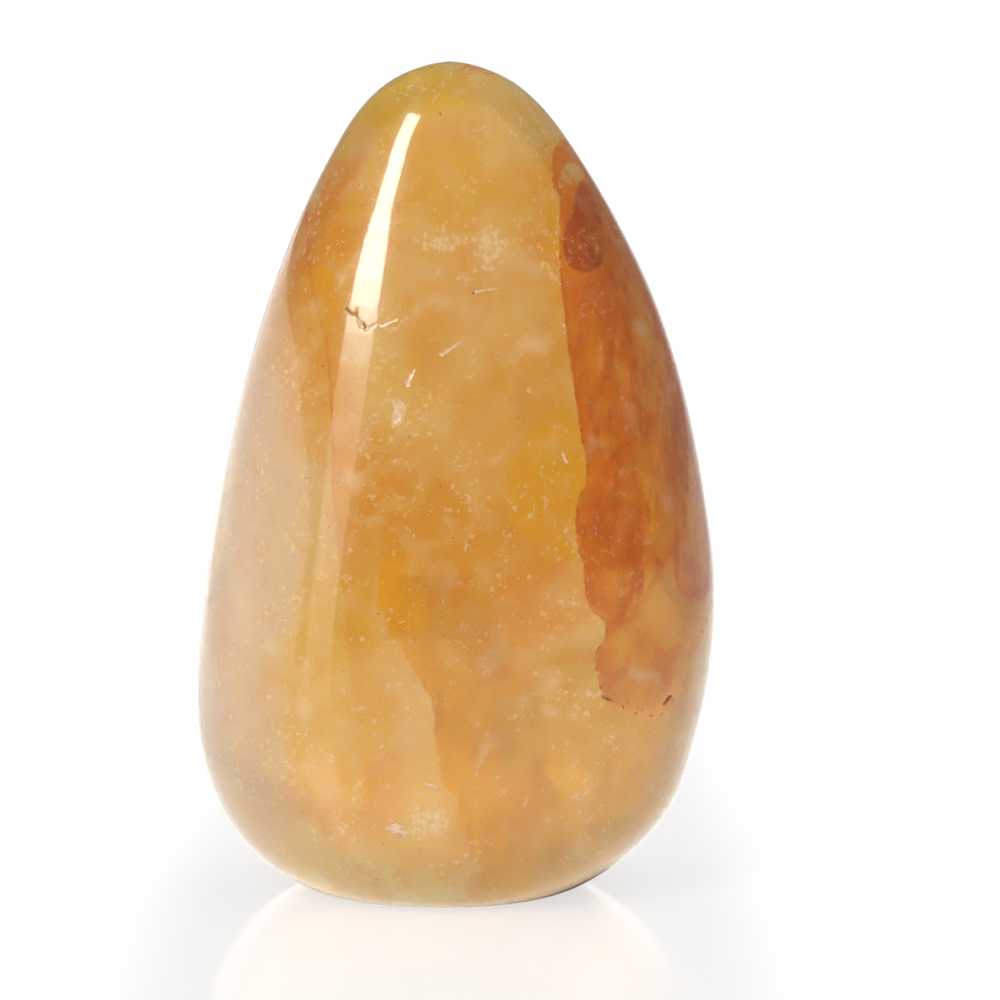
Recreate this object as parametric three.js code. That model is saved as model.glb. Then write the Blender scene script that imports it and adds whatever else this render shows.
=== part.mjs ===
// A polished quartz freeform: one stone, rounded like a tall egg, cut flat underneath so that it stands.
// Millimetres, +Z up, the broad show face towards -Y. The origin is on the table plane under the middle
// of the stone's outline.
import * as THREE from "three";

const HEIGHT = 100;

// How far the stone reaches at each height, from the edge of the flat cut to the last ring of the crown:
// [height, left, right, front, back]. Left and front are negative, because they lie at -X and -Y.
const REACH = [
  [0.0, -16.8, 13.8, -12.6, 12.2],
  [1.2, -19.9, 16.7, -15.0, 14.4],
  [4.6, -24.9, 21.6, -17.8, 17.0],
  [10.5, -29.2, 26.6, -20.0, 19.4],
  [18.5, -31.8, 29.2, -21.4, 20.9],
  [28.0, -32.5, 31.2, -21.9, 21.5],
  [38.5, -31.3, 32.0, -21.2, 21.3],
  [49.5, -28.9, 30.8, -19.6, 20.0],
  [60.5, -26.1, 28.4, -17.6, 17.9],
  [71.0, -22.8, 24.6, -15.4, 15.3],
  [80.5, -19.1, 19.8, -12.9, 12.6],
  [88.5, -15.1, 15.0, -10.3, 9.9],
  [94.5, -11.3, 10.6, -7.6, 7.1],
  [98.1, -7.1, 6.2, -4.7, 4.2],
];
const CROWN = { x: -0.5, y: -0.3 };

// A section is a squarish oval: 2 is an ellipse, and more is boxier.
const SECTION_POWER = 2.12;

// Broad flats that the lapping wheel left. turn is the way a flat faces, in degrees from +X round to +Y,
// lean tips it upwards, and depth is how far it cuts below the rounded form.
const FLATS = [
  { name: "show face", turn: 276, lean: 5, depth: 1.5 },
  { name: "left shoulder", turn: 214, lean: 9, depth: 1.4 },
  { name: "right shoulder", turn: 331, lean: 12, depth: 1.1 },
  { name: "back", turn: 97, lean: 7, depth: 1.6 },
  { name: "back left", turn: 148, lean: 4, depth: 1.2 },
];
const FLAT_SHARPNESS = 16; // higher makes the edges between flats crisper
const FLAT_MIDDLE = 42; // the height that the flats are measured at, give or take half of it
const FLAT_PROBES = { heights: 60, turns: 180 }; // how finely the rounded form is searched for its reach

// What hand polishing leaves: long, shallow swells, so many around and along the stone. They fade out
// where the section is narrower than smallest.
const SWELL = { depth: 0.16, around: 3, along: 2.6, turned: 1.1, raised: 0.4, smallest: 8 };

// The mesh: faces around the stone, rings up its flank, and rings that fill the flat underside.
const AROUND = 72;
const RINGS = 46;
const BASE_RINGS = 2;
const FLANK_SAMPLES = 600; // steps along the flank that measure its length

// The four sides at a height, read from smooth curves through REACH and the crown.
function sideCurve(column, crown) {
  const points = REACH.map((row) => new THREE.Vector3(row[column], row[0], 0));
  points.push(new THREE.Vector3(crown, HEIGHT, 0));
  // One more point past the crown, mirrored, lets the curve arrive there level.
  const [height, reach] = [REACH.at(-1)[0], REACH.at(-1)[column]];
  points.push(new THREE.Vector3(2 * crown - reach, height, 0));
  return new THREE.CatmullRomCurve3(points, false, "centripetal");
}

const SIDES = {
  left: sideCurve(1, CROWN.x),
  right: sideCurve(2, CROWN.x),
  front: sideCurve(3, CROWN.y),
  back: sideCurve(4, CROWN.y),
};
const LAST = REACH.length / (REACH.length + 1); // the crown's place along each curve

// The section at share s of the way from the flat's edge to the crown.
function sectionAt(s) {
  const at = (side) => SIDES[side].getPoint(s * LAST);
  const [left, right, front, back] = ["left", "right", "front", "back"].map(at);
  return {
    z: (left.y + right.y + front.y + back.y) / 4,
    middle: new THREE.Vector2((left.x + right.x) / 2, (front.x + back.x) / 2),
    half: new THREE.Vector2((right.x - left.x) / 2, (back.x - front.x) / 2),
  };
}

// A point on the squarish oval, before the flats.
function ovalPoint(section, turn) {
  const bend = (value) => Math.sign(value) * Math.abs(value) ** (2 / SECTION_POWER);
  return new THREE.Vector3(
    section.middle.x + section.half.x * bend(Math.cos(turn)),
    section.middle.y + section.half.y * bend(Math.sin(turn)),
    section.z,
  );
}

function facing(flat) {
  const turn = THREE.MathUtils.degToRad(flat.turn);
  const lean = THREE.MathUtils.degToRad(flat.lean);
  return new THREE.Vector3(
    Math.cos(turn) * Math.cos(lean),
    Math.sin(turn) * Math.cos(lean),
    Math.sin(lean),
  );
}

// Each flat is a plane that lies its depth below the point of the oval that stands out furthest its way.
function flatPlanes() {
  const { heights, turns: steps } = FLAT_PROBES;
  const shares = Array.from({ length: heights }, (_, i) => (i + 0.5) / heights);
  const turns = Array.from({ length: steps }, (_, i) => (i / steps) * 2 * Math.PI);
  return FLATS.map((flat) => {
    const normal = facing(flat);
    let reach = 0;
    for (const share of shares) {
      const section = sectionAt(share);
      if (Math.abs(section.z - FLAT_MIDDLE) > FLAT_MIDDLE / 2) continue;
      for (const turn of turns) {
        reach = Math.max(reach, normal.dot(ovalPoint(section, turn)));
      }
    }
    return { normal, distance: reach - flat.depth };
  });
}

const PLANES = flatPlanes();

// A point of the finished surface: the oval, eased inside every flat, with the polishing swell.
function surfacePoint(section, turn) {
  const middle = new THREE.Vector3(section.middle.x, section.middle.y, section.z);
  const out = ovalPoint(section, turn).sub(middle);
  let squeeze = 1;
  for (const { normal, distance } of PLANES) {
    const along = normal.dot(out);
    if (along <= 0) continue;
    const room = distance - normal.dot(middle);
    squeeze += (along / room) ** FLAT_SHARPNESS;
  }
  const length = out.length();
  const rise = section.z / HEIGHT;
  const acrossWave = Math.sin(SWELL.around * turn + SWELL.turned);
  const upWave = Math.sin(SWELL.along * Math.PI * rise + SWELL.raised);
  const height = SWELL.depth * acrossWave * upWave * Math.sin(Math.PI * rise);
  const swell = 1 + height / Math.max(length, SWELL.smallest);
  return middle.addScaledVector(out, swell * squeeze ** (-1 / FLAT_SHARPNESS));
}

// Shares of the way up that space the rings evenly along the stone's flank.
function ringShares(count) {
  const run = [0];
  let last = surfacePoint(sectionAt(0), 0);
  for (let i = 1; i <= FLANK_SAMPLES; i++) {
    const next = surfacePoint(sectionAt(i / FLANK_SAMPLES), 0);
    run.push(run[i - 1] + next.distanceTo(last));
    last = next;
  }
  return Array.from({ length: count }, (_, ring) => {
    const wanted = (ring / count) * run.at(-1);
    return run.findIndex((length) => length >= wanted) / FLANK_SAMPLES;
  });
}

// A sphere's grid, laid ring by ring over the crown, the flank and the flat underside.
function stoneGeometry() {
  const rows = RINGS + BASE_RINGS;
  const geometry = new THREE.SphereGeometry(1, AROUND, rows);
  const position = geometry.getAttribute("position");
  const shares = ringShares(RINGS);
  const edge = sectionAt(0);
  for (let i = 0; i < position.count; i++) {
    const row = Math.floor(i / (AROUND + 1)); // 0 is the crown, and rows is the middle of the underside
    const turn = ((i % (AROUND + 1)) / AROUND) * 2 * Math.PI;
    let point = new THREE.Vector3(CROWN.x, CROWN.y, HEIGHT);
    if (row > RINGS) {
      const inwards = (rows - row) / BASE_RINGS;
      const middle = new THREE.Vector3(edge.middle.x, edge.middle.y, 0);
      point = middle.lerp(surfacePoint(edge, turn), inwards);
    } else if (row > 0) {
      point = surfacePoint(sectionAt(shares[RINGS - row]), turn);
    }
    position.setXYZ(i, point.x, point.y, point.z);
  }
  geometry.computeBoundingBox();
  const middle = geometry.boundingBox.getCenter(new THREE.Vector3());
  geometry.translate(-middle.x, -middle.y, 0);
  geometry.computeVertexNormals();
  return geometry;
}

const quartz = new THREE.MeshStandardMaterial({
  color: new THREE.Color(0.82, 0.62, 0.36),
  roughness: 0.06,
  metalness: 0,
});

const stone = new THREE.Mesh(stoneGeometry(), quartz);
stone.name = "quartz_stone";

const freeform = new THREE.Group();
freeform.add(stone);

export default freeform;
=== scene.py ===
# A polished quartz freeform with goethite stains, standing on a pale table under soft studio light.
import math
import random

import bpy
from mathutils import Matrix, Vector, noise
from mathutils.geometry import intersect_point_line


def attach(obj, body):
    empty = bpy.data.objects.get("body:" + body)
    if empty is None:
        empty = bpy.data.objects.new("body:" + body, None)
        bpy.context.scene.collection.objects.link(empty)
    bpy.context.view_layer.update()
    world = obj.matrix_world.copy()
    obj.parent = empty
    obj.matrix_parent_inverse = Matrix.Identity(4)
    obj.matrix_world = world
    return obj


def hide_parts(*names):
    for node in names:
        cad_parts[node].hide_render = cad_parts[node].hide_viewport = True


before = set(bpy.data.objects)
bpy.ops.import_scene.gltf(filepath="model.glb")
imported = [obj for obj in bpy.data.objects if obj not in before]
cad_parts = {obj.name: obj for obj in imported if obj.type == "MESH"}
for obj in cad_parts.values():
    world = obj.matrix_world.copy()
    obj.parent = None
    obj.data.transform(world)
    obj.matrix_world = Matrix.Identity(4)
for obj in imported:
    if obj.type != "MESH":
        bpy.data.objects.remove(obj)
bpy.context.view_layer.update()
mm = 0.001
print("frame loaded")


def deselectAll():
    for thing in bpy.context.selected_objects:
        thing.select_set(False)


def takeOnly(thing):
    deselectAll()
    thing.select_set(True)
    bpy.context.view_layer.objects.active = thing


def applyModifier(thing, kind, name, **settings):
    modifier = thing.modifiers.new(name, kind)
    for setting, value in settings.items():
        setattr(modifier, setting, value)
    bpy.ops.object.modifier_apply(modifier=name)


def fromHex(code):
    # a screen colour as the linear numbers that a socket takes
    def linear(part):
        share = int(part, 16) / 255
        return share / 12.92 if share <= 0.04045 else ((share + 0.055) / 1.055) ** 2.4

    return (linear(code[0:2]), linear(code[2:4]), linear(code[4:6]), 1)


# Shader maths: a Wire wraps one output socket, so that an expression on Wires adds its Math nodes.
class Wire:
    def __init__(self, nodes, socket):
        self.nodes = nodes
        self.socket = socket

    def math(self, operation, *values):
        return self.nodes.add("ShaderNodeMath", {"operation": operation}, dict(enumerate(values)))

    def other(self, name):
        # another output of the same node
        return Wire(self.nodes, self.socket.node.outputs[name])

    def __add__(self, other):
        return self.math("ADD", self, other)

    def __radd__(self, other):
        return self.math("ADD", other, self)

    def __sub__(self, other):
        return self.math("SUBTRACT", self, other)

    def __rsub__(self, other):
        return self.math("SUBTRACT", other, self)

    def __mul__(self, other):
        return self.math("MULTIPLY", self, other)

    def __rmul__(self, other):
        return self.math("MULTIPLY", other, self)

    def __truediv__(self, other):
        return self.math("DIVIDE", self, other)

    def __pow__(self, other):
        return self.math("POWER", self, other)

    def __abs__(self):
        return self.math("ABSOLUTE", self)

    def most(self, other):
        return self.math("MAXIMUM", self, other)

    def scaled(self, by, plus):
        # self * by + plus in one node
        return self.math("MULTIPLY_ADD", self, by, plus)

    def rise(self, start, end, height=1):
        # 0 below start, height above end, eased between them
        settings = {"interpolation_type": "SMOOTHSTEP"}
        return self.nodes.add("ShaderNodeMapRange", settings, {0: self, 1: start, 2: end, 3: 0, 4: height})

    def hiding(self, share):
        # turns a mask round: 1 outside it, and less by share inside it
        return self.scaled(-share, 1)


class NodeSet:
    def __init__(self, tree):
        self.tree = tree

    def add(self, kind, settings=None, inputs=None, out=0):
        node = self.tree.nodes.new(kind)
        for setting, value in (settings or {}).items():
            if setting == "points":
                # a curve takes its points one by one
                curve = node.mapping.curves[0].points
                while len(curve) < len(value):
                    curve.new(1, 1)
                for point, place in zip(curve, value):
                    point.location = place
                node.mapping.update()
            else:
                setattr(node, setting, value)
        for name, value in (inputs or {}).items():
            self.feed(node.inputs[name], value)
        return Wire(self, node.outputs[out])

    def feed(self, socket, value):
        if isinstance(value, Wire):
            self.tree.links.new(value.socket, socket)
        else:
            socket.default_value = value

    def blend(self, amount, under, over):
        settings = {"data_type": "RGBA", "blend_type": "MIX", "clamp_factor": True}
        return self.add("ShaderNodeMix", settings, {0: amount, 6: under, 7: over}, out=2)

    def vector(self, operation, first, second, third=(0, 0, 0)):
        settings = {"operation": operation}
        if operation == "SCALE":
            return self.add("ShaderNodeVectorMath", settings, {0: first, 3: second})
        return self.add("ShaderNodeVectorMath", settings, {0: first, 1: second, 2: third})

    def length(self, vector):
        return self.add("ShaderNodeVectorMath", {"operation": "LENGTH"}, {0: vector}, out=1)

    def split(self, vector):
        return [self.add("ShaderNodeSeparateXYZ", inputs={0: vector}, out=side) for side in range(3)]

    def join(self, x, y, z=0):
        return self.add("ShaderNodeCombineXYZ", inputs={0: x, 1: y, 2: z})

    def follow(self, value, points):
        # a curve through (input, output) points, both in millimetres
        starts, ends = [point[0] for point in points], [point[1] for point in points]
        low, high, least, most = min(starts), max(starts), min(ends), max(ends)
        shares = [((start - low) / (high - low), (end - least) / (most - least)) for start, end in points]
        share = value.scaled(1 / (high - low), -low / (high - low))
        curve = self.add("ShaderNodeFloatCurve", {"points": shares}, {1: share})
        return curve.scaled(most - least, least)

    def clouds(self, vector, size, detail, roughness, stretch=(1, 1, 1), out="Fac"):
        # noise whose features are about size millimetres across
        scaled = self.vector("MULTIPLY", vector, tuple(1 / (size * side) for side in stretch))
        return self.add("ShaderNodeTexNoise", None,
                        {"Vector": scaled, "Scale": 1, "Detail": detail, "Roughness": roughness}, out)

    def cells(self, vector, out, dimensions="3D"):
        # a random cell round each point of a grid of unit cells
        settings = {"voronoi_dimensions": dimensions}
        return self.add("ShaderNodeTexVoronoi", settings, {"Vector": vector, "Scale": 1}, out)


class Material(NodeSet):
    def __init__(self, name):
        self.material = bpy.data.materials.new(name)
        self.material.use_nodes = True
        super().__init__(self.material.node_tree)
        self.shader = self.tree.nodes["Principled BSDF"]
        self.output = self.tree.nodes["Material Output"]

    def set(self, **values):
        # the shader's own sockets, by name with underscores for spaces
        for name, value in values.items():
            self.feed(self.shader.inputs[name.replace("_", " ")], value)

    def place(self):
        # Object coordinates in millimetres
        spot = self.add("ShaderNodeTexCoord", out="Object")
        return self.vector("SCALE", spot, 1 / mm)


# The stone's own clear-to-cloudy body.
quartzLook = {
    "transmission": 0.5,
    "ior": 1.544,
    "roughness": 0.2,
    "specular": 0.1,
    "coat": 1,
    "coatRoughness": 0.03,
    "subsurface": 0.8,
    "subsurfaceRadius": (1, 0.6, 0.3),
    "subsurfaceScale": 25 * mm,
    "absorbColour": (0.98, 0.86, 0.36, 1),
    "absorbDensity": 12,
}
tones = {
    "sand": fromHex("ebc26e"),
    "honey": fromHex("e49f2c"),
    "straw": fromHex("e8b83a"),
    "pinkSand": fromHex("dec09a"),
    "milk": fromHex("ffe3b4"),
    "chip": fromHex("ffe0d0"),
    "mist": fromHex("ecc684"),
    "gold": fromHex("ecaa04"),
    "orange": fromHex("ea8404"),
    "rust": fromHex("de7604"),
    "paleRust": fromHex("ee9c18"),
    "plum": fromHex("c87420"),
    "deepRust": fromHex("b04c02"),
    "saffron": fromHex("ec9000"),
    "ember": fromHex("c45c00"),
    "umber": fromHex("6e3410"),
    # painted glint: the bright dashes stand in for light caught by tiny cracks
    "paintedGlint": fromHex("ffe090"),
    "amber": fromHex("daa83c"),
    "paleFoot": fromHex("f2b848"),
    "toast": fromHex("d8981c"),
}

# Clouds of colour in the stone: middle and reach in millimetres (x, y, z), how strong and how crisp. A
# cloud fades between two shares of its reach, and the crisper it is, the nearer to the outer one.
cloudFade = {"inner": 0.15, "outer": 1.25}
bodyClouds = [
    {"tone": "pinkSand", "middle": (-27, -6, 36), "reach": (15, 30, 34), "strength": 0.85, "crisp": 0.45},
    {"tone": "sand", "middle": (8, -5, 93.5), "reach": (4, 6, 6), "strength": 0.8, "crisp": 0.4},
    {"tone": "honey", "middle": (6, -17, 50), "reach": (11, 14, 19), "strength": 0.6, "crisp": 0.35},
    {"tone": "gold", "middle": (12, -17, 51), "reach": (5, 8, 7.5), "strength": 0.8, "crisp": 0.6},
    {"tone": "orange", "middle": (10, -18, 38), "reach": (6, 9, 6), "strength": 0.4, "crisp": 0.4},
    {"tone": "straw", "middle": (-6, -4, 96), "reach": (7, 9, 5.5), "strength": 0.9, "crisp": 0.6},
    {"tone": "straw", "middle": (-14, -19, 29), "reach": (7, 10, 15), "strength": 0.75, "crisp": 0.5},
    {"tone": "mist", "middle": (3, -14, 74), "reach": (11, 9, 10), "strength": 0.5, "crisp": 0.3},
    {"tone": "straw", "middle": (-1, -11, 84), "reach": (9, 8, 6), "strength": 0.5, "crisp": 0.5},
    {"tone": "orange", "middle": (-16, -6, 85), "reach": (4.5, 9, 11), "strength": 0.5, "crisp": 0.4},
    {"tone": "gold", "middle": (-14.8, -11, 73), "reach": (1.6, 5, 3.6), "strength": 0.9, "crisp": 0.75},
]
rustClouds = [
    {"tone": "saffron", "middle": (12.9, -6.8, 86.2), "reach": (2.5, 6, 6.2), "strength": 1, "crisp": 0.8},
    {"tone": "orange", "middle": (11.6, -6.0, 87.6), "reach": (0.6, 4, 2.0), "strength": 0.8, "crisp": 0.5},
    {"tone": "orange", "middle": (13.4, -8.0, 82.4), "reach": (0.8, 4, 2.4), "strength": 0.8, "crisp": 0.5},
    {"tone": "sand", "middle": (13.9, -5.3, 87.0), "reach": (1.3, 4, 1.1), "strength": 0.9, "crisp": 0.7},
    {"tone": "ember", "middle": (15.2, -8.8, 79.2), "reach": (2.3, 6, 2.9), "strength": 1, "crisp": 0.85},
    {"tone": "ember", "middle": (15.4, -7.6, 81.4), "reach": (1.7, 6, 2.7), "strength": 1, "crisp": 0.8},
    {"tone": "ember", "middle": (15.0, -6.2, 83.8), "reach": (1.0, 5, 2.3), "strength": 0.9, "crisp": 0.6},
    {"tone": "umber", "middle": (16.2, -8.0, 77.9), "reach": (1.3, 4, 2.0), "strength": 0.3, "crisp": 0.2},
    {"tone": "mist", "middle": (24.2, -13.4, 37.2), "reach": (3.0, 4, 4.0), "strength": 0.6, "crisp": 0.2},
]

# Where healed cracks lie thick with tiny bubbles, and read as frosted veils.
veils = [
    {"middle": (4.3, -12.8, 79.0), "reach": (1.9, 3, 2.3), "strength": 1, "crisp": 0.3},
    {"middle": (-1.0, -13.0, 79.4), "reach": (4.4, 3, 1.4), "strength": 0.8, "crisp": 0.2},
    {"middle": (-6.7, -16.5, 60.4), "reach": (0.9, 3, 1.4), "strength": 1, "crisp": 0.6},
    {"middle": (-3.0, -20.3, 13.0), "reach": (3.4, 3, 2.2), "strength": 0.7, "crisp": 0.2},
]

# Lines on the stone in millimetres. An edge is a list of (height, x), and a foot is a list of (x, height).
rustEdge = [(24, 15), (28, 16.4), (32, 16.6), (35, 17.8), (37.2, 16.2), (39.4, 15.5), (42.7, 15.2),
            (45.5, 14.4), (49, 14.3), (53.3, 15.5), (57, 14.8), (62, 14), (66, 13.3), (71, 12.7),
            (75.5, 12), (80, 11.8), (84.4, 11.6), (86, 10.8), (89, 10.6), (91, 12)]
deepFoot = [(14, 40), (16.2, 37.2), (17.8, 36), (20, 35.1), (21.8, 36.7), (22.3, 41.3), (24.7, 41.2),
            (26.5, 38.5), (29.2, 36.5), (32, 38)]
rustFoot = [(13, 32), (16, 31), (17, 28), (18.4, 26), (20.7, 24.8), (23, 23.4), (25.3, 24.2),
            (26.8, 26.2), (27.9, 29.5), (29.7, 32.6), (32, 38)]
goldEdge = [(0, 6.5), (5.9, 3.4), (9.2, 2), (12.8, 0.8), (15, 0.4), (18, -1.4), (22.2, -2.2),
            (26.4, -2.5), (29, -3.5), (32.8, -5.9), (36.8, -8), (41.7, -8.8), (46, -8.4)]
honeyFoot = [(2, 24), (6, 27.5), (10, 30), (13, 31.2), (17, 30.6), (20, 29)]
veinEdge = [(24, -11.4), (36.5, -12.5), (43.3, -13.3), (50, -13.8), (61.4, -14.2), (66.8, -14.6),
            (70.4, -15.5), (75.8, -16.8), (82, -17.4)]

# Noise in the stone, by the size of its features in millimetres.
noises = {
    "swirl": {"size": 6, "detail": 1, "roughness": 0.6},
    "ragged": {"size": 1.3, "detail": 2, "roughness": 0.6},
    "drifts": {"size": 15, "detail": 1, "roughness": 0.5, "stretch": (1, 1, 1.5)},
    "blotches": {"size": 5, "detail": 2, "roughness": 0.6, "stretch": (1, 1, 1.4)},
    "threads": {"size": 1.4, "detail": 1, "roughness": 0.5, "stretch": (1, 1, 3)},
    "mottling": {"size": 7, "detail": 2, "roughness": 0.55, "stretch": (1, 1, 1.8)},
    "streaks": {"size": 1.1, "detail": 1, "roughness": 0.5, "stretch": (1, 1, 5)},
    "wisps": {"size": 3.4, "detail": 2, "roughness": 0.55},
    "sugar": {"size": 0.8, "detail": 2, "roughness": 0.7},
}

# How many millimetres noise moves a place, so that edges wander, and where it crowds the small marks.
wander = {"far": 9.0, "near": 3.0, "least": 1.3, "crowded": (0.42, 0.62)}

# The zones of the stone. Two or three numbers are what Wire.rise takes: where a tone starts, where it is
# full, and its strength. "sway" is how far noise moves an edge, in millimetres, and two numbers there are
# what Wire.scaled takes. "inRust" is the share of a mark that the rust hides.
bodyLook = {"drifts": (0.4, 0.6), "pale": (0.52, 0.64, 0.5), "deep": (0.44, 0.36, 0.4)}
veinLook = {"sway": 0.5, "front": (0, -4),
            "edge": (-0.25, 0.25), "fade": (4, 0.3, 0.6), "foot": (24, 32), "top": (82, 76),
            "line": (0.3, 0.08), "lineFoot": (46, 54), "lineStrength": 0.35, "lineCrowded": 0.5}
goldLook = {"edge": (-0.1, 0.3), "front": (6, -4), "sway": 4, "footSway": 1.6,
            "wash": (16, 4), "washTop": (44, 34, 0.4), "band": (7, 2.5), "bandTop": (46, 42, 0.95),
            "seam": (2.2, 0.3), "seamTop": (34, 30), "threads": (0.5, 0.62, 0.7),
            "lap": (6, 9), "underLap": (0.2, -0.4, 0.75),
            "rim": (-0.3, 0.2), "rimFade": (4.5, 0.4), "rimRight": (7, 12, 0.75),
            "sheetTop": 42, "sheetBack": 2}
rustLook = {"lean": 0.1, "level": 15, "sway": 0.5, "footSway": 1.2, "deepSway": 2.5,
            "edge": (-0.15, 0.15), "foot": (-0.3, 0.3), "crest": (91.4, 90.8),
            "back": (-3, 14), "backSway": (60, -8), "crestBack": (-5, 6), "crestSway": (30, -15),
            "pale": (0.42, 0.62), "nearEdge": (4.5, 0.3, 0.9),
            "upper": (78, 94, 0.85), "upperRight": 0.4, "upperSway": (14, -7), "upperEdge": (1.0, 4.0),
            "shallow": (0.8, -0.8, 0.75), "blotches": (0.46, 0.6, 0.6),
            "streaks": (0.5, 0.75, 0.35), "streaksInShallow": 1.2,
            "rim": (0.5, 0.1), "rimBroken": (-0.1, 0.15, 0.6), "rimTop": (84, 80),
            "margin": (-2.6, -0.8), "marginHeight": (66, 80, 0.65), "sheetTop": 90.5}
milkLook = {"wisps": (0.46, 0.76, 0.42), "wispsInRust": 0.7, "gaps": (0.48, 0.3, 0.3),
            "frost": (0.64, 0.8, 0.6), "inVeils": 0.2, "inCrowds": 0.1, "veils": 0.15, "inRust": 0.5}
speckLook = {"size": (0.285, 0.235, 0.7), "dirtyFoot": (2.2, 0.2), "dirt": 0.16}
scarLook = {"chip": (0.05, 0.4, 0.9), "crack": (-0.25, -0.6, 0.75)}
# milky buds: one in some of the cells of a grid, fading from its middle over shares of the pitch
budLook = {"pitch": 5.5, "share": 0.6, "reach": (0.42, 0.02, 0.5)}

# Marks on a grid over the skin, unrolled at the stone's mean radius: short dashes, which are painted glints,
# by their half length, half width and the share of cells that have one, and white facets, each of which
# fills its cell.
meanRadius = 26
dashes = {"pitch": 1.6, "long": 0.42, "wide": 0.12, "share": 0.32, "shortest": 0.2, "edge": (1.2, 0.5),
          "frayed": 0.4, "strength": 0.3, "crowded": 0.7, "inRust": 0.75}
facets = {"pitch": 0.5, "share": 0.008, "edge": 0.005, "inVeils": 0.45, "strength": 0.1, "varied": 0.55,
          "inRust": 0.85}


def within(nodes, spot, cloud):
    # the cloud's strength inside its ellipsoid, 0 outside it
    shares = [1 / reach for reach in cloud["reach"]]
    shift = [-middle * share for middle, share in zip(cloud["middle"], shares)]
    away = nodes.length(nodes.vector("MULTIPLY_ADD", spot, shares, shift))
    inner, outer = cloudFade["inner"], cloudFade["outer"]
    return away.rise(outer, inner + (outer - inner) * cloud["crisp"], cloud["strength"])


def inClouds(nodes, colour, spot, clouds):
    for cloud in clouds:
        colour = nodes.blend(within(nodes, spot, cloud), colour, tones[cloud["tone"]])
    return colour


def dashMarks(nodes, skin):
    # one short dash in some of the cells, each turned its own way: a painted glint
    look = dashes
    places = nodes.vector("SCALE", skin, 1 / look["pitch"])
    cell = nodes.cells(places, "Color", "2D")
    turn, size, chosen = nodes.split(cell)
    offset = nodes.vector("SUBTRACT", places, cell.other("Position"))
    turned = nodes.add("ShaderNodeVectorRotate", {"rotation_type": "Z_AXIS"},
                       {"Vector": offset, "Angle": turn * math.tau})
    lengthwise, sideways, none = nodes.split(turned)
    long, wide = look["long"] / look["pitch"], look["wide"] / look["pitch"]
    inLength = (size ** 2).scaled(long, long * look["shortest"]) - abs(lengthwise)
    outside, inside = look["edge"]
    inWidth = abs(sideways).rise(wide * outside, wide * inside)
    return inLength.rise(0, wide) * inWidth * chosen.rise(1 - look["share"], 1)


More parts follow.
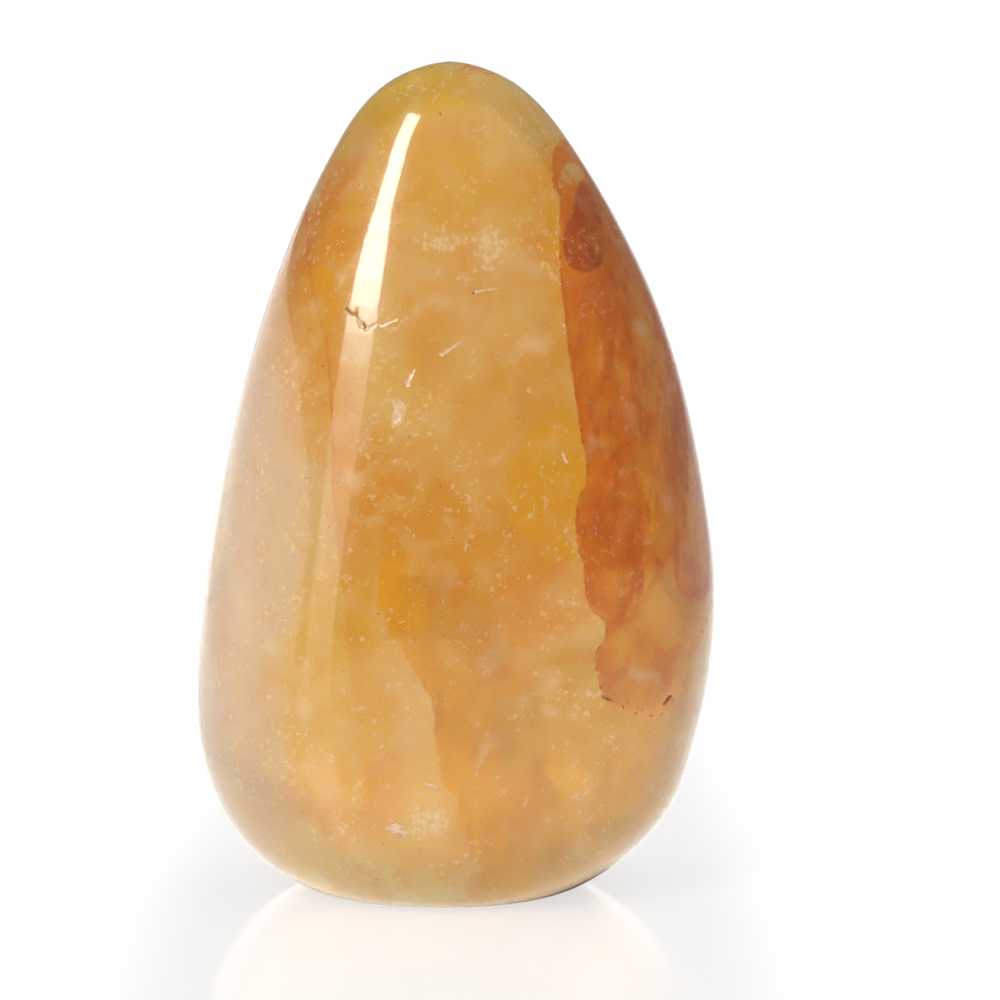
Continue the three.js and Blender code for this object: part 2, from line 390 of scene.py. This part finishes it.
class QuartzMaterial(Material):
    # each zone lays its tones over the colour that it is given
    def __init__(self):
        super().__init__("goethite_quartz")
        self.spot = self.place()
        swirl = self.clouds(self.spot, **noises["swirl"], out="Color")
        self.drift = self.vector("SUBTRACT", swirl, (0.5, 0.5, 0.5))
        self.wandering = self.moved("far")
        self.ragged = self.clouds(self.spot, **noises["ragged"]) - 0.5
        self.crowding = self.split(swirl)[2].rise(*wander["crowded"])
        self.x, self.y, self.z = self.split(self.spot)
        self.blotches = self.clouds(self.wandering, **noises["blotches"])
        sugar = self.clouds(self.spot, **noises["sugar"], out="Color")
        self.grain, self.fray, self.crumbs = self.split(sugar)

    def moved(self, how):
        # the same place, moved a little here and there, so that edges wander
        by = wander[how]
        return self.vector("MULTIPLY_ADD", self.drift, (by, by, by), self.spot)

    def body(self):
        # broad drifts of tone, and paler and deeper blotches in them
        look = bodyLook
        drifts = self.clouds(self.spot, **noises["drifts"]).rise(*look["drifts"])
        colour = self.blend(drifts, tones["sand"], tones["honey"])
        colour = self.blend(self.blotches.rise(*look["pale"]), colour, tones["mist"])
        colour = self.blend(self.blotches.rise(*look["deep"]), colour, tones["straw"])
        return inClouds(self, colour, self.wandering, bodyClouds)

    def vein(self, colour):
        # a warm vein parts the milky left side from the middle, with a thin rusty line high up in it
        look = veinLook
        away = self.x - self.follow(self.z, veinEdge) + self.ragged.scaled(look["sway"], 0)
        front = self.y.rise(*look["front"])
        height = self.z.rise(*look["foot"]) * self.z.rise(*look["top"])
        vein = away.rise(*look["edge"]) * away.rise(*look["fade"]) * height
        colour = self.blend(vein * front, colour, tones["honey"])
        line = abs(away).rise(*look["line"]) * self.z.rise(*look["lineFoot"]) * front
        strength = self.crowding.scaled(look["lineCrowded"], look["lineStrength"])
        return self.blend(line * strength, colour, tones["rust"])

    def goldenSheet(self, colour):
        # a golden sheet crops out low in the middle, and stains what lies to its right
        look = goldLook
        away = self.x - self.follow(self.z, goldEdge) + self.ragged
        golden = away.rise(*look["edge"]) * self.y.rise(*look["front"])
        height = self.ragged.scaled(look["sway"], 0) + self.z
        wash = away.rise(*look["wash"]) * height.rise(*look["washTop"])
        colour = self.blend(golden * wash, colour, tones["straw"])
        self.inBand = golden * away.rise(*look["band"]) * height.rise(*look["bandTop"])
        colour = self.blend(self.inBand, colour, tones["gold"])
        threads = self.clouds(self.spot, **noises["threads"]).rise(*look["threads"])
        seam = away.rise(*look["seam"]) * height.rise(*look["seamTop"]) * threads
        colour = self.blend(golden * seam, colour, tones["toast"])
        # the lap: honey above its foot, amber below, and a toasted rim between them
        inLap = golden * away.rise(*look["lap"])
        toFoot = self.ragged.scaled(look["footSway"], 0) + self.z - self.follow(self.x, honeyFoot)
        colour = self.blend(inLap * toFoot.rise(*look["underLap"]), colour, tones["amber"])
        rim = toFoot.rise(*look["rim"]) * toFoot.rise(*look["rimFade"]) * self.x.rise(*look["rimRight"])
        return self.blend(rim * inLap, colour, tones["toast"])

    def rustZone(self, colour):
        # the deep stain on the right, from its edge round to the back
        look = rustLook
        lean, level = look["lean"], look["level"]
        away = self.x - self.y.scaled(lean, lean * level) - self.follow(self.z, rustEdge)
        away = away + self.ragged.scaled(look["sway"], 0)
        mottled = self.clouds(self.wandering, **noises["mottling"])
        behind = self.y.rise(*look["back"]) * mottled.scaled(*look["backSway"])
        aboveFoot = self.z - self.follow(self.x, rustFoot) + self.ragged.scaled(look["footSway"], 0) - behind
        crest = self.z + mottled.scaled(*look["crestSway"]) * self.y.rise(*look["crestBack"])
        self.inRust = away.rise(*look["edge"]) * aboveFoot.rise(*look["foot"]) * crest.rise(*look["crest"])
        self.dirty = aboveFoot.rise(*speckLook["dirtyFoot"]) * self.inRust

        rust = self.blend(mottled.rise(*look["pale"]), tones["rust"], tones["paleRust"])
        rust = self.blend(away.rise(*look["nearEdge"]), rust, tones["orange"])
        upper = mottled.scaled(*look["upperSway"]) + self.z + self.x.scaled(look["upperRight"], 0)
        rust = self.blend(upper.rise(*look["upper"]) * away.rise(*look["upperEdge"]), rust, tones["plum"])
        rust = inClouds(self, rust, self.moved("least"), rustClouds)

        aboveDeep = self.z - self.follow(self.x, deepFoot) + self.ragged.scaled(look["deepSway"], 0)
        shallow = aboveDeep.rise(*look["shallow"])
        rust = self.blend(shallow, rust, tones["paleFoot"])
        rust = self.blend(shallow * self.blotches.rise(*look["blotches"]), rust, tones["rust"])
        streaks = self.clouds(self.spot, **noises["streaks"]).rise(*look["streaks"])
        rust = self.blend(streaks * shallow.hiding(look["streaksInShallow"]), rust, tones["deepRust"])
        rim = away.rise(*look["rim"]) * self.ragged.rise(*look["rimBroken"]) * self.z.rise(*look["rimTop"])
        rust = self.blend(rim, rust, tones["deepRust"])

        # the quartz beside the edge is golden high up
        margin = away.rise(*look["margin"]) * self.z.rise(*look["marginHeight"])
        colour = self.blend(margin, colour, tones["gold"])
        return self.blend(self.inRust, colour, rust)

    def milkiness(self, colour):
        # milky buds, wisps, and frosted veils
        look = milkLook
        buds = self.cells(self.vector("SCALE", self.wandering, 1 / budLook["pitch"]), "Distance")
        picked = self.split(buds.other("Color"))[0].rise(1 - budLook["share"], 1)
        colour = self.blend(buds.rise(*budLook["reach"]) * picked, colour, tones["milk"])
        nearby = self.moved("near")
        wisps = self.clouds(nearby, **noises["wisps"])
        cloudy = (self.inRust.hiding(look["wispsInRust"]) - self.inBand).most(0)
        colour = self.blend(wisps.rise(*look["wisps"]) * cloudy, colour, tones["mist"])
        colour = self.blend(wisps.rise(*look["gaps"]), colour, tones["honey"])
        self.veiled = within(self, nearby, veils[0])
        for veil in veils[1:]:
            self.veiled = within(self, nearby, veil).most(self.veiled)
        thick = self.veiled.scaled(look["inVeils"], 0) + self.crowding.scaled(look["inCrowds"], 0)
        frost = (thick + self.grain).rise(*look["frost"]) + self.veiled.scaled(look["veils"], 0)
        return self.blend(frost * self.inRust.hiding(look["inRust"]), colour, tones["milk"])

    def smallMarks(self, colour):
        # painted glints as short bright dashes, a few white facets, dark specks, and the carved scars' tones
        around = self.x.math("ARCTAN2", self.x, self.y * -1)
        skin = self.join(around.scaled(meanRadius, 0), self.z)
        frayed = self.vector("SCALE", self.join(self.fray, self.crumbs), dashes["frayed"])
        crowded = self.crowding.scaled(dashes["crowded"], dashes["strength"])
        # the dashes are painted glints: light caught by tiny cracks, laid into the colour
        glintMarks = dashMarks(self, self.vector("ADD", skin, frayed)) * crowded
        colour = self.blend(glintMarks * self.inRust.hiding(dashes["inRust"]), colour, tones["paintedGlint"])
        pane = self.cells(self.vector("SCALE", skin, 1 / facets["pitch"]), "Color", "2D")
        chosen, tint, none = self.split(pane)
        least = 1 - facets["share"]
        white = (self.veiled.scaled(facets["inVeils"], 0) + chosen).rise(least, least + facets["edge"])
        white = white * tint.scaled(facets["varied"], facets["strength"])
        colour = self.blend(white * self.inRust.hiding(facets["inRust"]), colour, tones["milk"])
        specks = (self.crumbs - self.dirty.scaled(speckLook["dirt"], 0)).rise(*speckLook["size"])
        colour = self.blend(specks, colour, tones["umber"])
        scarred = self.add("ShaderNodeAttribute", {"attribute_name": "scarred"}, out="Fac")
        colour = self.blend(scarred.rise(*scarLook["chip"]), colour, tones["chip"])
        return self.blend(scarred.rise(*scarLook["crack"]), colour, tones["umber"])


def quartzMaterial():
    look = quartzLook
    nodes = QuartzMaterial()
    colour = nodes.body()
    for zone in (nodes.vein, nodes.goldenSheet, nodes.rustZone, nodes.milkiness, nodes.smallMarks):
        colour = zone(colour)
    nodes.set(
        Base_Color=colour,
        Roughness=look["roughness"],
        IOR=look["ior"],
        Specular_IOR_Level=look["specular"],
        Transmission_Weight=look["transmission"],
        Subsurface_Weight=look["subsurface"],
        Subsurface_Radius=look["subsurfaceRadius"],
        Subsurface_Scale=look["subsurfaceScale"],
        Coat_Weight=look["coat"],
        Coat_Roughness=look["coatRoughness"],
        Coat_IOR=look["ior"],
    )
    absorb = nodes.tree.nodes.new("ShaderNodeVolumeAbsorption")
    absorb.inputs["Color"].default_value = look["absorbColour"]
    absorb.inputs["Density"].default_value = look["absorbDensity"]
    nodes.tree.links.new(absorb.outputs[0], nodes.output.inputs["Volume"])
    return nodes.material


stoneShape = {"weld": 0.002 * mm, "levels": 2}


def makeStone():
    # the CAD mesh, welded and smoothed
    shape = stoneShape
    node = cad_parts["quartz_stone"]
    stone = bpy.data.objects.new("polished_stone", node.data.copy())
    bpy.context.collection.objects.link(stone)
    stone.data.materials.clear()
    takeOnly(stone)
    bpy.ops.object.mode_set(mode="EDIT")
    bpy.ops.mesh.select_all(action="SELECT")
    bpy.ops.mesh.remove_doubles(threshold=shape["weld"])
    bpy.ops.mesh.tris_convert_to_quads()
    bpy.ops.object.mode_set(mode="OBJECT")
    applyModifier(stone, "SUBSURF", "polish", levels=shape["levels"], render_levels=shape["levels"])
    bpy.ops.object.shade_smooth()
    stone.data.materials.append(quartzMaterial())
    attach(stone, "root")
    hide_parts("quartz_stone")
    return stone


stone = makeStone()
print("stone polished:", len(stone.data.polygons), "faces")


def along(points, value):
    # the height of a line through (place, height) points, level before the first and after the last
    for (start, begin), (end, finish) in zip(points, points[1:]):
        if value <= end:
            return begin + (finish - begin) * max(0, (value - start) / (end - start))
    return points[-1][1]


def copyOfStone(name):
    # its mesh again, standing for no node of the frame and without a material
    takeOnly(stone)
    bpy.ops.object.duplicate()
    piece = bpy.context.object
    piece.name = name
    for key in list(piece.keys()):
        del piece[key]
    piece.data.materials.clear()
    return piece


# Sheets of stain: cracks that dip into the stone from a line on its surface. reach is how far each runs
# from that line, and it lies at first depth there and at last depth where it ends, in millimetres. Its
# tone drifts from light to dark, and cover is the least and the most that it hides what lies behind it.
sheets = {
    "rust_fracture": {"first": 0.35, "last": 6.0, "reach": 22, "thick": 0.12, "crumple": 0.9, "grain": 3.0,
                      "light": "f0982c", "dark": "c8690e", "cover": (0.3, 0.85)},
    "golden_fracture": {"first": 0.35, "last": 4.5, "reach": 13, "thick": 0.12, "crumple": 0.7, "grain": 2.4,
                        "light": "f8c848", "dark": "e29c18", "cover": (0.1, 0.7)},
}
stainLook = {"feather": {"size": 2.2, "detail": 3, "roughness": 0.62, "stretch": (1, 1, 2)},
             "darkening": (0.35, 0.65),
             "thin": {"size": 4.5, "detail": 2, "roughness": 0.6, "stretch": (1, 1, 1.5)},
             "thickening": (0.36, 0.56),
             "roughness": 0.4, "transmission": 0.8, "ior": 1.08}


def fromRustEdge(x, y, z):
    look = rustLook
    if z < along(rustFoot, x) or z > look["sheetTop"]:
        return -1
    return x - (y + look["level"]) * look["lean"] - along(rustEdge, z)


def fromGoldEdge(x, y, z):
    if z > goldLook["sheetTop"] or y > goldLook["sheetBack"]:
        return -1
    return x - along(goldEdge, z)


def stainMaterial(name, sheet):
    look = stainLook
    nodes = Material(name)
    spot = nodes.place()
    feather = nodes.clouds(spot, **look["feather"]).rise(*look["darkening"])
    colour = nodes.blend(feather, fromHex(sheet["light"]), fromHex(sheet["dark"]))
    thin, full = sheet["cover"]
    cover = nodes.clouds(spot, **look["thin"]).rise(*look["thickening"]) * (full - thin) + thin
    nodes.set(
        Base_Color=colour,
        Alpha=cover,
        Roughness=look["roughness"],
        Transmission_Weight=look["transmission"],
        IOR=look["ior"],
    )
    return nodes.material


def makeSheet(name, stain, distanceTo):
    # distanceTo gives how far a place is past the sheet's line, and less than 0 where there is no sheet
    sheet = sheets[name]
    piece = copyOfStone(name)
    distances = [distanceTo(*(vertex.co / mm)) for vertex in piece.data.vertices]
    for vertex in piece.data.vertices:
        vertex.select = False
    for edge in piece.data.edges:
        edge.select = False
    for face in piece.data.polygons:
        face.select = not all(0 <= distances[corner] < sheet["reach"] for corner in face.vertices)
    bpy.ops.object.mode_set(mode="EDIT")
    bpy.ops.mesh.select_mode(type="FACE")
    bpy.ops.mesh.delete(type="FACE")
    bpy.ops.object.mode_set(mode="OBJECT")
    dip = piece.vertex_groups.new(name="dip")
    for vertex in piece.data.vertices:
        share = min(1, distanceTo(*(vertex.co / mm)) / sheet["reach"])
        dip.add([vertex.index], max(0, share), "REPLACE")
    first, last = sheet["first"] * mm, sheet["last"] * mm
    applyModifier(piece, "DISPLACE", "sink", strength=-first, mid_level=0)
    applyModifier(piece, "DISPLACE", "dip", strength=first - last, mid_level=0, vertex_group="dip")
    grain = bpy.data.textures.new(name + "_grain", "CLOUDS")
    grain.noise_scale = sheet["grain"] * mm
    applyModifier(piece, "DISPLACE", "crumple", strength=sheet["crumple"] * mm, texture=grain,
                  vertex_group="dip")
    applyModifier(piece, "SOLIDIFY", "thickness", thickness=sheet["thick"] * mm, offset=0)
    bpy.ops.object.shade_smooth()
    piece.data.materials.append(stainMaterial(stain, sheet))
    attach(piece, "root")


makeSheet("rust_fracture", "rust_stain", fromRustEdge)
makeSheet("golden_fracture", "golden_stain", fromGoldEdge)
print("stained fractures sealed in")


class GeometrySet(NodeSet):
    def __init__(self, name):
        super().__init__(bpy.data.node_groups.new(name, "GeometryNodeTree"))
        self.tree.interface.new_socket("Geometry", in_out="INPUT", socket_type="NodeSocketGeometry")
        self.tree.interface.new_socket("Geometry", in_out="OUTPUT", socket_type="NodeSocketGeometry")
        self.entry = self.add("NodeGroupInput")

    def finish(self, geometry):
        output = self.tree.nodes.new("NodeGroupOutput")
        self.tree.links.new(geometry.socket, output.inputs[0])


# Glints: flat crystals at random depths, with their tilt from the face above in radians. Sizes and depths
# are in millimetres, density is per square metre, and slimmest and roundest are shares of the size.
glintLook = {"name": "glints", "density": 160000, "seed": 4, "shallowest": 0.6, "deepest": 6, "tilt": 0.5,
             "smallest": 0.25, "largest": 1.6, "slimmest": (0.12, 0.12, 0.12), "roundest": (1, 0.6, 0.3),
             "tone": "fff0d0", "roughness": 0.25}


def scatterGlints(thing, look, material):
    # puts the glints under thing's faces, in place of them
    nodes = GeometrySet(look["name"])
    faces = nodes.tree.nodes.new("GeometryNodeDistributePointsOnFaces")
    nodes.feed(faces.inputs["Mesh"], nodes.entry)
    nodes.feed(faces.inputs["Density"], look["density"])
    nodes.feed(faces.inputs["Seed"], look["seed"])
    points, normal, facing = [Wire(nodes, faces.outputs[name]) for name in ("Points", "Normal", "Rotation")]

    def chance(low, high, seed):
        return nodes.add("FunctionNodeRandomValue", {"data_type": "FLOAT"},
                         {2: low, 3: high, 8: look["seed"] + seed}, out=1)

    def vectorChance(low, high, seed):
        return nodes.add("FunctionNodeRandomValue", {"data_type": "FLOAT_VECTOR"},
                         {0: low, 1: high, 8: look["seed"] + seed}, out=0)

    depth = chance(0, 1, 1) ** 2 * (look["deepest"] - look["shallowest"]) * mm + look["shallowest"] * mm
    inwards = nodes.vector("SCALE", normal, depth * -1)
    sunk = nodes.add("GeometryNodeSetPosition", None, {"Geometry": points, "Offset": inwards})
    glint = nodes.add("GeometryNodeMeshIcoSphere", None, {"Radius": 0.5 * mm, "Subdivisions": 1})
    tilt = look["tilt"]
    turn = vectorChance((-tilt, -tilt, 0), (tilt, tilt, math.tau), 2)
    turned = nodes.add("FunctionNodeRotateRotation", {"rotation_space": "LOCAL"},
                       {"Rotation": facing, "Rotate By": turn})
    size = chance(0, 1, 3) ** 3 * (look["largest"] - look["smallest"]) + look["smallest"]
    shape = vectorChance(look["slimmest"], look["roundest"], 4)
    placed = nodes.add("GeometryNodeInstanceOnPoints", None,
                       {"Points": sunk, "Instance": glint, "Rotation": turned,
                        "Scale": nodes.vector("SCALE", shape, size)})
    whole = nodes.add("GeometryNodeRealizeInstances", None, {"Geometry": placed})
    finished = nodes.add("GeometryNodeSetMaterial", None, {"Geometry": whole, "Material": material})
    nodes.finish(finished)
    applyModifier(thing, "NODES", look["name"], node_group=nodes.tree)


def makeGlints():
    piece = copyOfStone("sealed_glints")
    nodes = Material("glint")
    nodes.set(Base_Color=fromHex(glintLook["tone"]), Roughness=glintLook["roughness"])
    scatterGlints(piece, glintLook, nodes.material)
    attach(piece, "root")
    print("glints scattered:", len(piece.data.polygons), "faces")


makeGlints()


# Scars in the polish: each follows a line near the surface, given in millimetres, with its half width at
# the line's two ends and its depth. A chip is pale, and a dark one is a crack.
scars = [
    {"line": [(-12.5, -12.7, 71.9), (-11.9, -13.1, 71.3), (-11.3, -13.4, 71.4), (-10.9, -13.6, 70.3),
              (-10.4, -13.8, 70.2), (-10.1, -14, 69.5)], "wide": (0.12, 0.2), "deep": 0.3, "dark": True},
    {"line": [(-11.2, -13.4, 70.9), (-10.6, -13.8, 69.9)], "wide": (0.1, 0.25), "deep": 0.2, "dark": False},
    {"line": [(-10.1, -14, 69.5), (-8.9, -14.3, 70.2), (-8.2, -14.4, 70.1), (-6.6, -14.6, 70.8)],
     "wide": (0.2, 0.08), "deep": 0.12, "dark": False},
    {"line": [(-6.9, -16.1, 61.6), (-6.7, -16.6, 60.4), (-6.5, -16.8, 59.8)], "wide": (0.1, 0.5),
     "deep": 0.25, "dark": False},
    {"line": [(-1.4, -15.9, 66.8), (1.0, -15.6, 68.4)], "wide": (0.22, 0.06), "deep": 0.12, "dark": False},
    {"line": [(-5.4, -16.2, 63.4), (-5.0, -16.2, 64.4), (-4.5, -16.2, 65.2)], "wide": (0.25, 0.1),
     "deep": 0.12, "dark": False},
    {"line": [(2.2, -14.3, 73.8), (2.5, -14.3, 73.9)], "wide": (0.2, 0.2), "deep": 0.25, "dark": True},
    {"line": [(2.6, -14.3, 73.9), (5.0, -14.0, 74.3)], "wide": (0.16, 0.06), "deep": 0.1, "dark": False},
    {"line": [(-7.1, -19.8, 11.9), (-6.2, -19.8, 11.3)], "wide": (0.7, 0.5), "deep": 0.25, "dark": False},
    {"line": [(-3.2, -20.3, 17.5), (-1.9, -20.4, 17.0)], "wide": (0.2, 0.1), "deep": 0.12, "dark": False},
    {"line": [(12.8, -17.8, 55.6), (13.2, -17.7, 54.7)], "wide": (0.12, 0.22), "deep": 0.12, "dark": False},
    {"line": [(17.3, -17.7, 27.1), (18.4, -17.3, 26.6)], "wide": (0.25, 0.2), "deep": 0.2, "dark": True},
    {"line": [(24.7, -13.2, 25.2), (25.4, -12.6, 26.0)], "wide": (0.15, 0.3), "deep": 0.2, "dark": True},
    {"line": [(26.2, -1.3, 63.9), (26.3, -1.0, 64.1)], "wide": (0.22, 0.22), "deep": 0.2, "dark": True},
    {"line": [(6, 17, 60), (7.2, 17, 61), (8, 17, 63), (8.6, 16, 66)], "wide": (0.35, 0.1), "deep": 0.2,
     "dark": False},
    {"line": [(-14, 17, 34), (-13, 17, 33)], "wide": (0.2, 0.7), "deep": 0.3, "dark": False},
    {"line": [(-3, 16, 76), (-1.6, 16, 76.5), (-1, 16, 77.6), (0, 15, 79)], "wide": (0.1, 0.25),
     "deep": 0.2, "dark": True},
    {"line": [(-29, 3, 40), (-28.6, 5, 42), (-28.5, 5.5, 43), (-28, 6, 45)], "wide": (0.3, 0.08),
     "deep": 0.2, "dark": False},
    {"line": [(30, 4, 30), (30, 6, 28)], "wide": (0.5, 0.2), "deep": 0.25, "dark": False},
]

# How scars are cut: faces are made finer this far past a scar's width, into so many cuts. steep is how
# fast a scar's wall goes down, crumble is the share of its depth that is left to chance, and grain is the
# size in millimetres of what frays its width.
scarShape = {"margin": 0.4, "cuts": 4, "deepest": 0.3, "steep": 2, "crumble": 0.5, "grain": 0.45,
             "nearby": 2, "seed": 7}


def alongLine(place, line):
    # how far a place is from a line of points, and how far along the line
    shortest, share = math.inf, 0
    for number, (start, end) in enumerate(zip(line, line[1:])):
        part = min(1, max(0, intersect_point_line(place, start, end)[1]))
        away = (place - start.lerp(end, part)).length
        if away < shortest:
            shortest, share = away, (number + part) / (len(line) - 1)
    return shortest, share


def carveScars():
    # finer faces round each scar, sunk by a Displace modifier
    takeOnly(stone)
    shape = scarShape
    lines = []
    for scar in scars:
        lines.append([stone.closest_point_on_mesh(Vector(point) * mm)[1] for point in scar["line"]])
    lowest = [min(point.z for point in line) - shape["nearby"] * mm for line in lines]
    highest = [max(point.z for point in line) + shape["nearby"] * mm for line in lines]

    def nearBy(place):
        return [number for number in range(len(scars)) if lowest[number] < place.z < highest[number]]

    def scarred(place):
        for number in nearBy(place):
            reach = (max(scars[number]["wide"]) + shape["margin"]) * mm
            if alongLine(place, lines[number])[0] < reach:
                return True
        return False

    for part in (stone.data.vertices, stone.data.edges, stone.data.polygons):
        for piece in part:
            piece.select = False
    for face in stone.data.polygons:
        face.select = scarred(face.center)
    bpy.ops.object.mode_set(mode="EDIT")
    bpy.ops.mesh.select_mode(type="FACE")
    bpy.ops.mesh.subdivide(number_cuts=shape["cuts"])
    bpy.ops.object.mode_set(mode="OBJECT")
    sunk = stone.vertex_groups.new(name="sunk")
    chance = random.Random(shape["seed"])
    shades = [0.0] * len(stone.data.vertices)
    for vertex in stone.data.vertices:
        for number in nearBy(vertex.co):
            scar = scars[number]
            away, reached = alongLine(vertex.co, lines[number])
            begin, end = scar["wide"]
            frayed = 1 + noise.noise(vertex.co / (shape["grain"] * mm))
            wide = (begin + (end - begin) * reached) * frayed * mm
            if away < wide:
                rough = min(1, (1 - away / wide) * shape["steep"]) * (1 - shape["crumble"] * chance.random())
                sunk.add([vertex.index], rough * scar["deep"] / shape["deepest"], "REPLACE")
                shades[vertex.index] = -rough if scar["dark"] else rough
    stone.data.attributes.new("scarred", "FLOAT", "POINT").data.foreach_set("value", shades)
    depth = shape["deepest"] * mm
    applyModifier(stone, "DISPLACE", "scars", strength=-depth, mid_level=0, vertex_group="sunk")


carveScars()
print("scars carved:", len(stone.data.polygons), "faces")


# The table glows: so much to look at, and as a light in a pool that runs back past the stone, with a
# brighter heart and a shade under the stone. size is in metres, and the other lengths in millimetres.
floorLook = {
    "size": 8,
    "colour": (0.2, 0.2, 0.2, 1),
    "roughness": 0.12,
    "glow": 0.76,
    "seen": 0.9,
    "seenAtSides": (28, 42, 0.14),
    "dim": 0.42,
    "heart": (130, 45, 0.24),
    "poolShift": 50,
    "poolReach": 100,
    "poolSpread": 0.18,
    "poolFront": -60,
    "poolFade": 160,
    "shadeWidth": 21,
    "shadeDepth": 13,
    "shadeEdge": (1.1, 0.8),
}

# The room, white to look at. As a light it is white only low down behind the stone, a little less so at
# its right, and dim elsewhere, by the shares of a direction that point up, back and right.
roomLook = {"horizon": 1.0, "dim": 0.24, "low": (0.30, 0.08), "behind": (0.8, 0.98),
            "right": (0.3, 0.8, 0.13)}

# The camera, in degrees and millimetres.
cameraLook = {"lens": 110, "rise": 9, "distance": 369.35, "target": (5.35, 0, 47.46), "clipStart": 10}

# The bright strip at the left is a column of panels. Its glow and its width are lists of (height in
# degrees, value).
strip = {"turn": -40.5, "away": 1.2, "lowest": -5, "highest": 56, "count": 24,
         "glow": [(-5, 0.5), (2, 1.0), (6, 1.3), (12, 1.2), (15.5, 1.4), (18, 4.6), (21, 9.5), (24, 12),
                  (40, 12), (60, 9)],
         "width": [(-5, 0.42), (16, 0.36), (27, 0.30), (31, 0.22), (60, 0.22)]}

# Each panel hangs round the stone's middle: its turn and height in degrees, how far off it is and how wide
# and tall, in metres, and how bright. An unmirrored one lights the stone but doesn't show in its polish.
stoneMiddle = Vector((0, 0, 50 * mm))
panels = [
    {"name": "side_card", "turn": -105, "rise": 4, "away": 1.2, "size": (2.6, 0.34), "glow": 1.0,
     "mirrored": True},
    {"name": "right_card", "turn": 95, "rise": 52, "away": 1.2, "size": (2.0, 0.8), "glow": 1.1,
     "mirrored": False},
    {"name": "back_card", "turn": 180, "rise": 55, "away": 1.6, "size": (2.4, 1.2), "glow": 1.2,
     "mirrored": False},
    {"name": "top_card", "turn": 0, "rise": 84, "away": 1.3, "size": (1.6, 1.6), "glow": 0.8,
     "mirrored": False},
]


def stripPanels():
    step = (strip["highest"] - strip["lowest"]) / strip["count"]
    tall = 2 * strip["away"] * math.tan(math.radians(step / 2))
    for number in range(strip["count"]):
        rise = strip["lowest"] + step * (number + 0.5)
        size = (along(strip["width"], rise), tall)
        yield {"name": "strip_" + str(number + 1), "turn": strip["turn"], "rise": rise,
               "away": strip["away"], "size": size, "glow": along(strip["glow"], rise), "mirrored": True}


def outward(turn, rise):
    # the way from the stone to a panel: 0 is in front, and 90 is at its right
    turn, rise = math.radians(turn), math.radians(rise)
    return Vector((math.sin(turn) * math.cos(rise), -math.cos(turn) * math.cos(rise), math.sin(rise)))


def hangPanel(panel):
    away = outward(panel["turn"], panel["rise"])
    place = stoneMiddle + away * panel["away"]
    aim = away.to_track_quat("Z", "Y").to_euler()
    bpy.ops.object.light_add(type="AREA", location=place, rotation=aim)
    bpy.context.object.visible_glossy = panel["mirrored"]
    lamp = bpy.context.object.data
    lamp.name = panel["name"]
    lamp.shape = "RECTANGLE"
    lamp.size, lamp.size_y = panel["size"]
    lamp.energy = panel["glow"] * math.pi * lamp.size * lamp.size_y


def makeFloor():
    look = floorLook
    bpy.ops.mesh.primitive_plane_add(size=look["size"])
    floor = bpy.context.object
    floor.name = "table_top"
    nodes = Material("pale_table")
    # as a light it is bright along the middle, dimmer at the sides, and dark under the stone
    x, y, z = nodes.split(nodes.place())
    spread = y.most(look["poolFront"]) * look["poolSpread"] + look["poolReach"]
    pastPool = abs(x + look["poolShift"]) - spread
    pool = pastPool.rise(look["poolFade"], 0, 1 - look["dim"]) + look["dim"]
    heart = nodes.length(nodes.join(x, y)).rise(*look["heart"])
    fromBase = nodes.length(nodes.join(x / look["shadeWidth"], y / look["shadeDepth"]))
    onBase = fromBase.rise(*look["shadeEdge"])
    toLookAt = abs(x).rise(*look["seenAtSides"]) + look["seen"]
    seen = nodes.add("ShaderNodeLightPath", out="Is Camera Ray")
    lit = (pool + heart) * (1 - onBase) * (1 - seen) + seen * toLookAt
    nodes.set(
        Base_Color=look["colour"],
        Roughness=look["roughness"],
        Emission_Color=nodes.join(lit, lit, lit),
        Emission_Strength=look["glow"],
    )
    floor.data.materials.append(nodes.material)


def makeWorld():
    look = roomLook
    world = bpy.data.worlds.new("studio")
    world.use_nodes = True
    bpy.context.scene.world = world
    nodes = NodeSet(world.node_tree)
    background = nodes.tree.nodes["Background"].inputs
    side, depth, height = nodes.split(nodes.add("ShaderNodeTexCoord", out="Generated"))
    seen = nodes.add("ShaderNodeLightPath", out="Is Camera Ray")
    glow = height.rise(*look["low"]) * depth.rise(*look["behind"]) - side.rise(*look["right"])
    strength = glow.most(seen).scaled(look["horizon"] - look["dim"], look["dim"])
    nodes.feed(background["Strength"], strength)
    nodes.feed(background["Color"], (1, 1, 1, 1))


def placeCamera():
    look = cameraLook
    rise = math.radians(look["rise"])
    back = Vector((0, -math.cos(rise), math.sin(rise)))
    place = (Vector(look["target"]) + back * look["distance"]) * mm
    bpy.ops.object.camera_add(location=place, rotation=(math.pi / 2 - rise, 0, 0))
    camera = bpy.context.object
    camera.data.lens = look["lens"]
    camera.data.clip_start = look["clipStart"] * mm
    bpy.context.scene.camera = camera


makeFloor()
makeWorld()
for panel in panels + list(stripPanels()):
    hangPanel(panel)
placeCamera()
scene = bpy.context.scene
scene.view_settings.view_transform = "Standard"
# keeps a cloudy stone's render short
scene.cycles.use_light_tree = False
scene.cycles.max_bounces = 4
scene.cycles.adaptive_threshold = 0.2
print("studio set")
